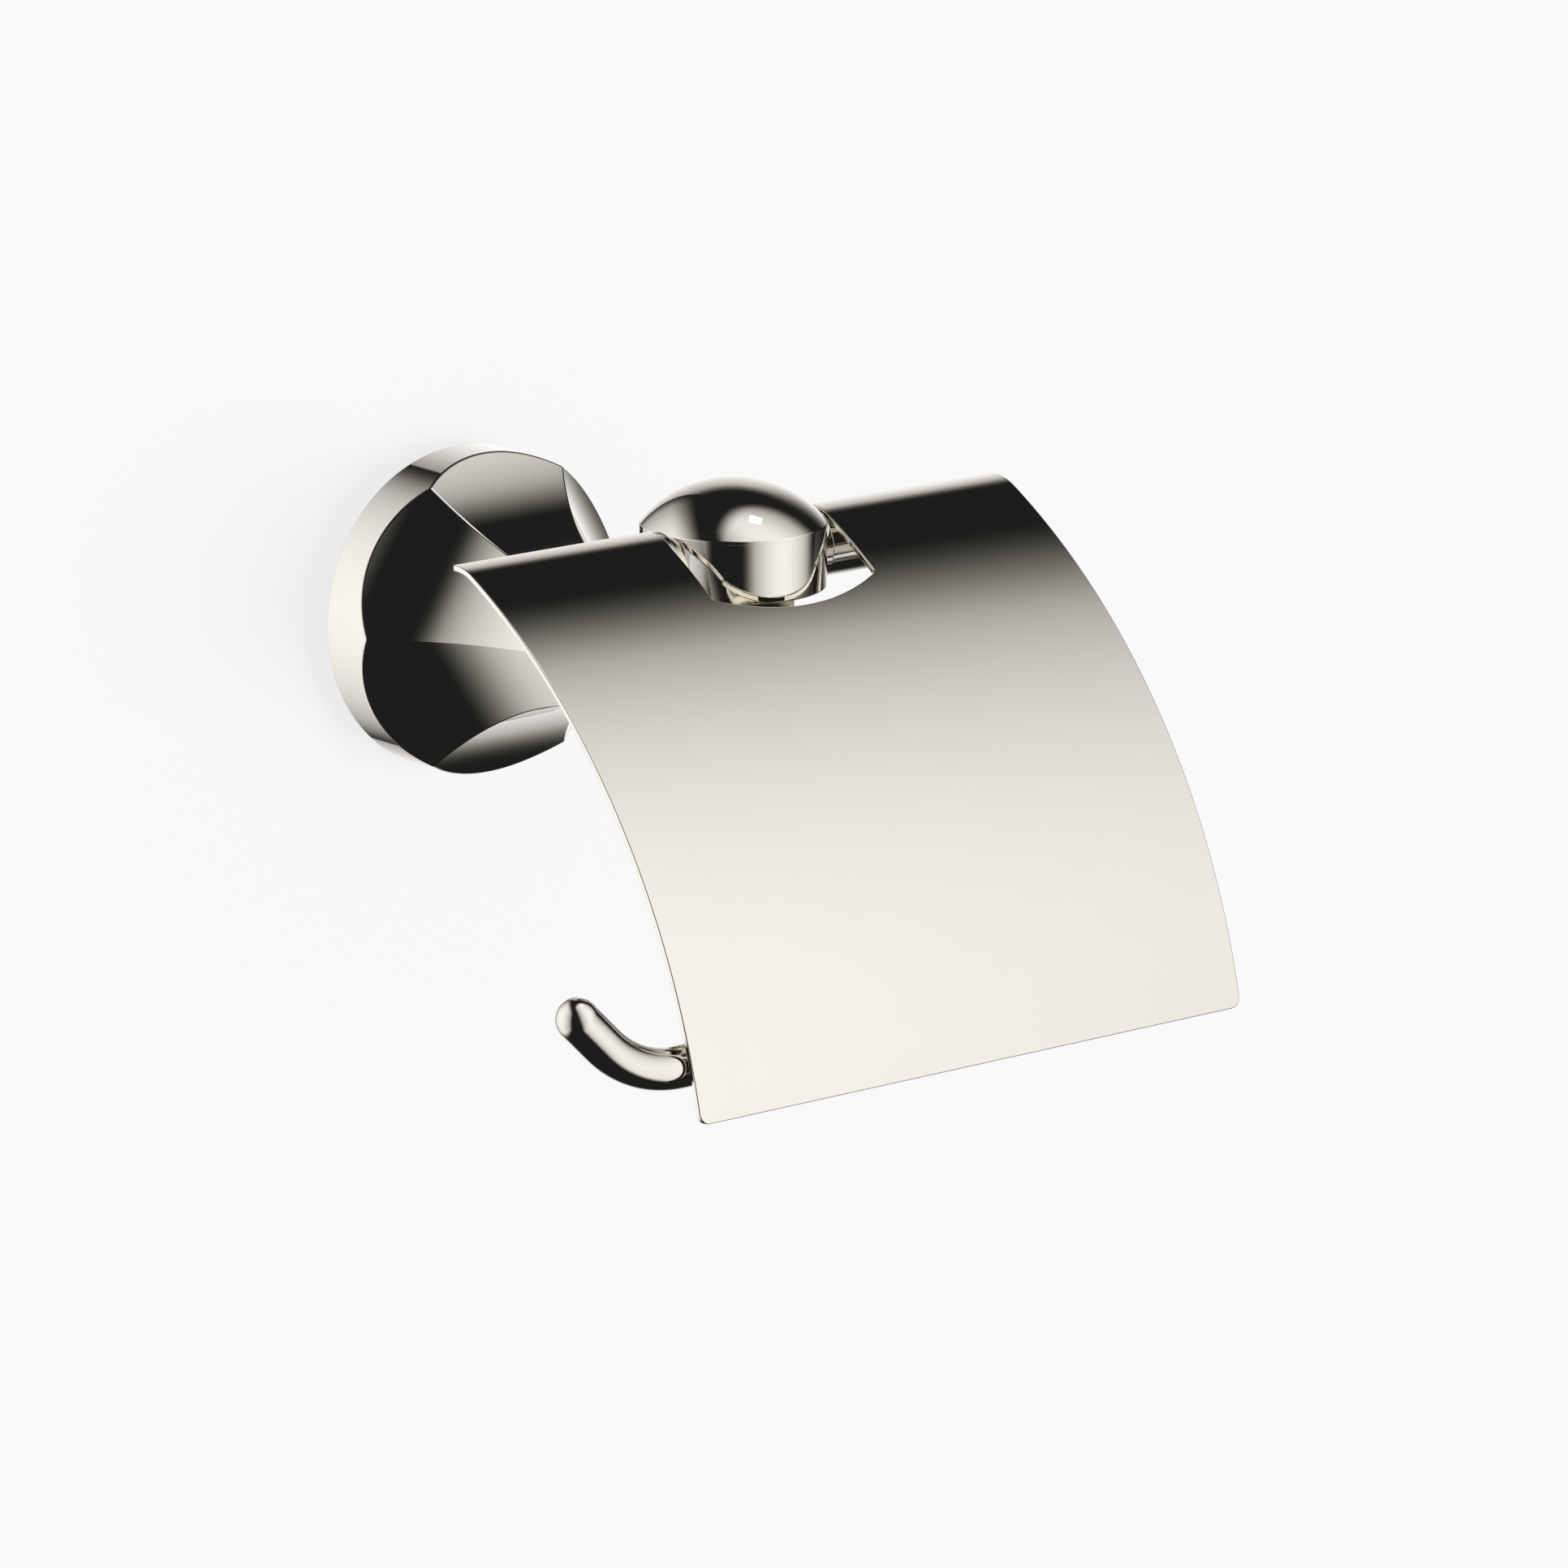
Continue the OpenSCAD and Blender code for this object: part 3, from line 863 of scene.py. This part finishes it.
def makeCamera(look):
    data = bpy.data.cameras.new("mainCamera")
    data.sensor_width = 36
    data.lens = look["lens"]
    data.clip_start, data.clip_end = 0.05, 50
    camera = bpy.data.objects.new("mainCamera", data)
    scene.collection.objects.link(camera)
    camera.location = look["place"]
    away = Vector(look["aim"]) - Vector(look["place"])
    camera.rotation_mode = "QUATERNION"
    camera.rotation_quaternion = away.to_track_quat("-Z", "Y")
    scene.camera = camera


makeCamera(cameraLook)


# soft boxes round the object: directions and half sizes in degrees, azimuth 0 straight out of
# the wall and 90 to the right; fall is how much the light drops from the middle to the edge, and
# soft is how wide the edge itself fades, both as shares of the half size
softBoxes = {
    "frontBox": {"azimuth": 24.0, "elevation": 20.0, "roll": 3.1, "level": 0.897,
                 "halfWidth": 50.4, "fallAcross": 0.784, "softLeft": 0.227, "softRight": 0.227,
                 "halfHeight": 71.2, "fallUp": 0.183, "softUp": 0.113},
    "backBox": {"azimuth": 138.0, "elevation": -3.4, "roll": -0.6, "level": 0.899,
                "halfWidth": 25.0, "fallAcross": 0.371, "softLeft": 0.80, "softRight": 0.02,
                "halfHeight": 46.7, "fallUp": 0.71, "softUp": 0.194},
    "leftBox": {"azimuth": -131.6, "elevation": -0.8, "roll": -0.7, "level": 0.921,
                "halfWidth": 61.7, "fallAcross": 0.727, "softLeft": 0.128, "softRight": 0.128,
                "halfHeight": 55.7, "fallUp": 0.227, "softUp": 0.189},
    "smallLamp": {"azimuth": 57.6, "elevation": 73.2, "roll": -6.6, "level": 1.0,
                  "halfWidth": 4.2, "fallAcross": 0, "softLeft": 0.06, "softRight": 0.06,
                  "halfHeight": 4.6, "fallUp": 0, "softUp": 0.06},
}
lightShell = {"centre": (-0.010, -0.075, 0.0), "radius": 0.878}     # metres
# what a level of light from the boxes looks like, from dark to bright
lightTints = [
    (0.0, (0.0141, 0.0141, 0.0141)), (0.178, (0.208, 0.205, 0.191)), (0.44, (0.517, 0.507, 0.509)),
    (0.73, (0.850, 0.842, 0.857)), (0.93, (1.09, 1.105, 1.12)), (0.97, (2.5, 2.5, 2.5)),
]


def mathNode(tree, operation, *values):
    made = tree.nodes.new("ShaderNodeMath")
    made.operation = operation
    for socket, value in zip(made.inputs, values):
        if isinstance(value, (int, float)):
            socket.default_value = value
        else:
            tree.links.new(value, socket)
    return made.outputs[0]


def dotNode(tree, direction, vector):
    made = tree.nodes.new("ShaderNodeVectorMath")
    made.operation = "DOT_PRODUCT"
    tree.links.new(direction, made.inputs[0])
    made.inputs[1].default_value = vector
    return made.outputs["Value"]


def boxShare(tree, angle, half, fall, softLow, softHigh):
    # 1 in the middle of the box, a little less towards its edges, 0 beyond them; each edge has
    # its own softness
    share = mathNode(tree, "DIVIDE", mathNode(tree, "ABSOLUTE", angle), math.radians(half))
    upper = mathNode(tree, "GREATER_THAN", angle, 0.0)
    soft = mathNode(tree, "MULTIPLY_ADD", upper, softHigh - softLow, softLow)
    edge = tree.nodes.new("ShaderNodeMapRange")
    edge.interpolation_type = "SMOOTHSTEP"
    tree.links.new(mathNode(tree, "ADD", 1.0, soft), edge.inputs["From Min"])
    tree.links.new(mathNode(tree, "SUBTRACT", 1.0, soft), edge.inputs["From Max"])
    tree.links.new(share, edge.inputs["Value"])
    drop = mathNode(tree, "MULTIPLY_ADD", mathNode(tree, "MULTIPLY", share, share), -fall, 1.0)
    return mathNode(tree, "MULTIPLY", mathNode(tree, "MAXIMUM", drop, 0.0), edge.outputs["Result"])


def boxLight(tree, direction, look):
    turn, rise, roll = (math.radians(look[k]) for k in ("azimuth", "elevation", "roll"))
    towards = Vector((math.cos(rise) * math.sin(turn), -math.cos(rise) * math.cos(turn), math.sin(rise)))
    level = Vector((math.cos(turn), math.sin(turn), 0))
    upright = level.cross(towards)
    upright = upright if upright.z > 0 else -upright
    across = level * math.cos(roll) + upright * math.sin(roll)
    up = upright * math.cos(roll) - level * math.sin(roll)
    ahead = dotNode(tree, direction, towards)
    aside = mathNode(tree, "ARCTAN2", dotNode(tree, direction, across), ahead)
    above = mathNode(tree, "ARCTAN2", dotNode(tree, direction, up), ahead)
    wide = boxShare(tree, aside, look["halfWidth"], look["fallAcross"], look["softLeft"], look["softRight"])
    high = boxShare(tree, above, look["halfHeight"], look["fallUp"], look["softUp"], look["softUp"])
    return mathNode(tree, "MULTIPLY", mathNode(tree, "MULTIPLY", wide, high), look["level"])


def makeLightShell(boxes, tints, look):
    # the boxes glow on the inside of a big round shell, which the camera looks straight through
    material = bpy.data.materials.new("lightShell")
    material.use_nodes = True
    tree = material.node_tree
    tree.nodes.clear()
    output = tree.nodes.new("ShaderNodeOutputMaterial")
    direction = tree.nodes.new("ShaderNodeTexCoord").outputs["Object"]
    total = None
    for box in boxes.values():
        light = boxLight(tree, direction, box)
        total = light if total is None else mathNode(tree, "MAXIMUM", total, light)
    tint = tree.nodes.new("ShaderNodeValToRGB")
    for _ in range(len(tints) - 2):
        tint.color_ramp.elements.new(0.5)
    for element, (level, colour) in zip(tint.color_ramp.elements, tints):
        element.position = level
        element.color = (*colour, 1)
    tree.links.new(total, tint.inputs["Fac"])
    glow = tree.nodes.new("ShaderNodeEmission")
    tree.links.new(tint.outputs["Color"], glow.inputs["Color"])
    tree.links.new(glow.outputs[0], output.inputs["Surface"])

    mesh = bpy.data.meshes.new("lightShell")
    ball = bmesh.new()
    bmesh.ops.create_icosphere(ball, subdivisions=5, radius=look["radius"])
    ball.to_mesh(mesh)
    ball.free()
    mesh.materials.append(material)
    shell = bpy.data.objects.new("lightShell", mesh)
    scene.collection.objects.link(shell)
    shell.location = look["centre"]
    shell.visible_camera = False
    shell.visible_diffuse = False
    shell.visible_shadow = False


def makeWorld(backdrop):
    world = bpy.data.worlds.new("studioWorld")
    world.use_nodes = True
    plain = world.node_tree.nodes["Background"]
    plain.inputs["Color"].default_value = (*backdrop, 1)
    scene.world = world


makeLightShell(softBoxes, lightTints, lightShell)
makeWorld(studio["backdrop"])
scene.view_settings.view_transform = "Standard"
print("studio made")
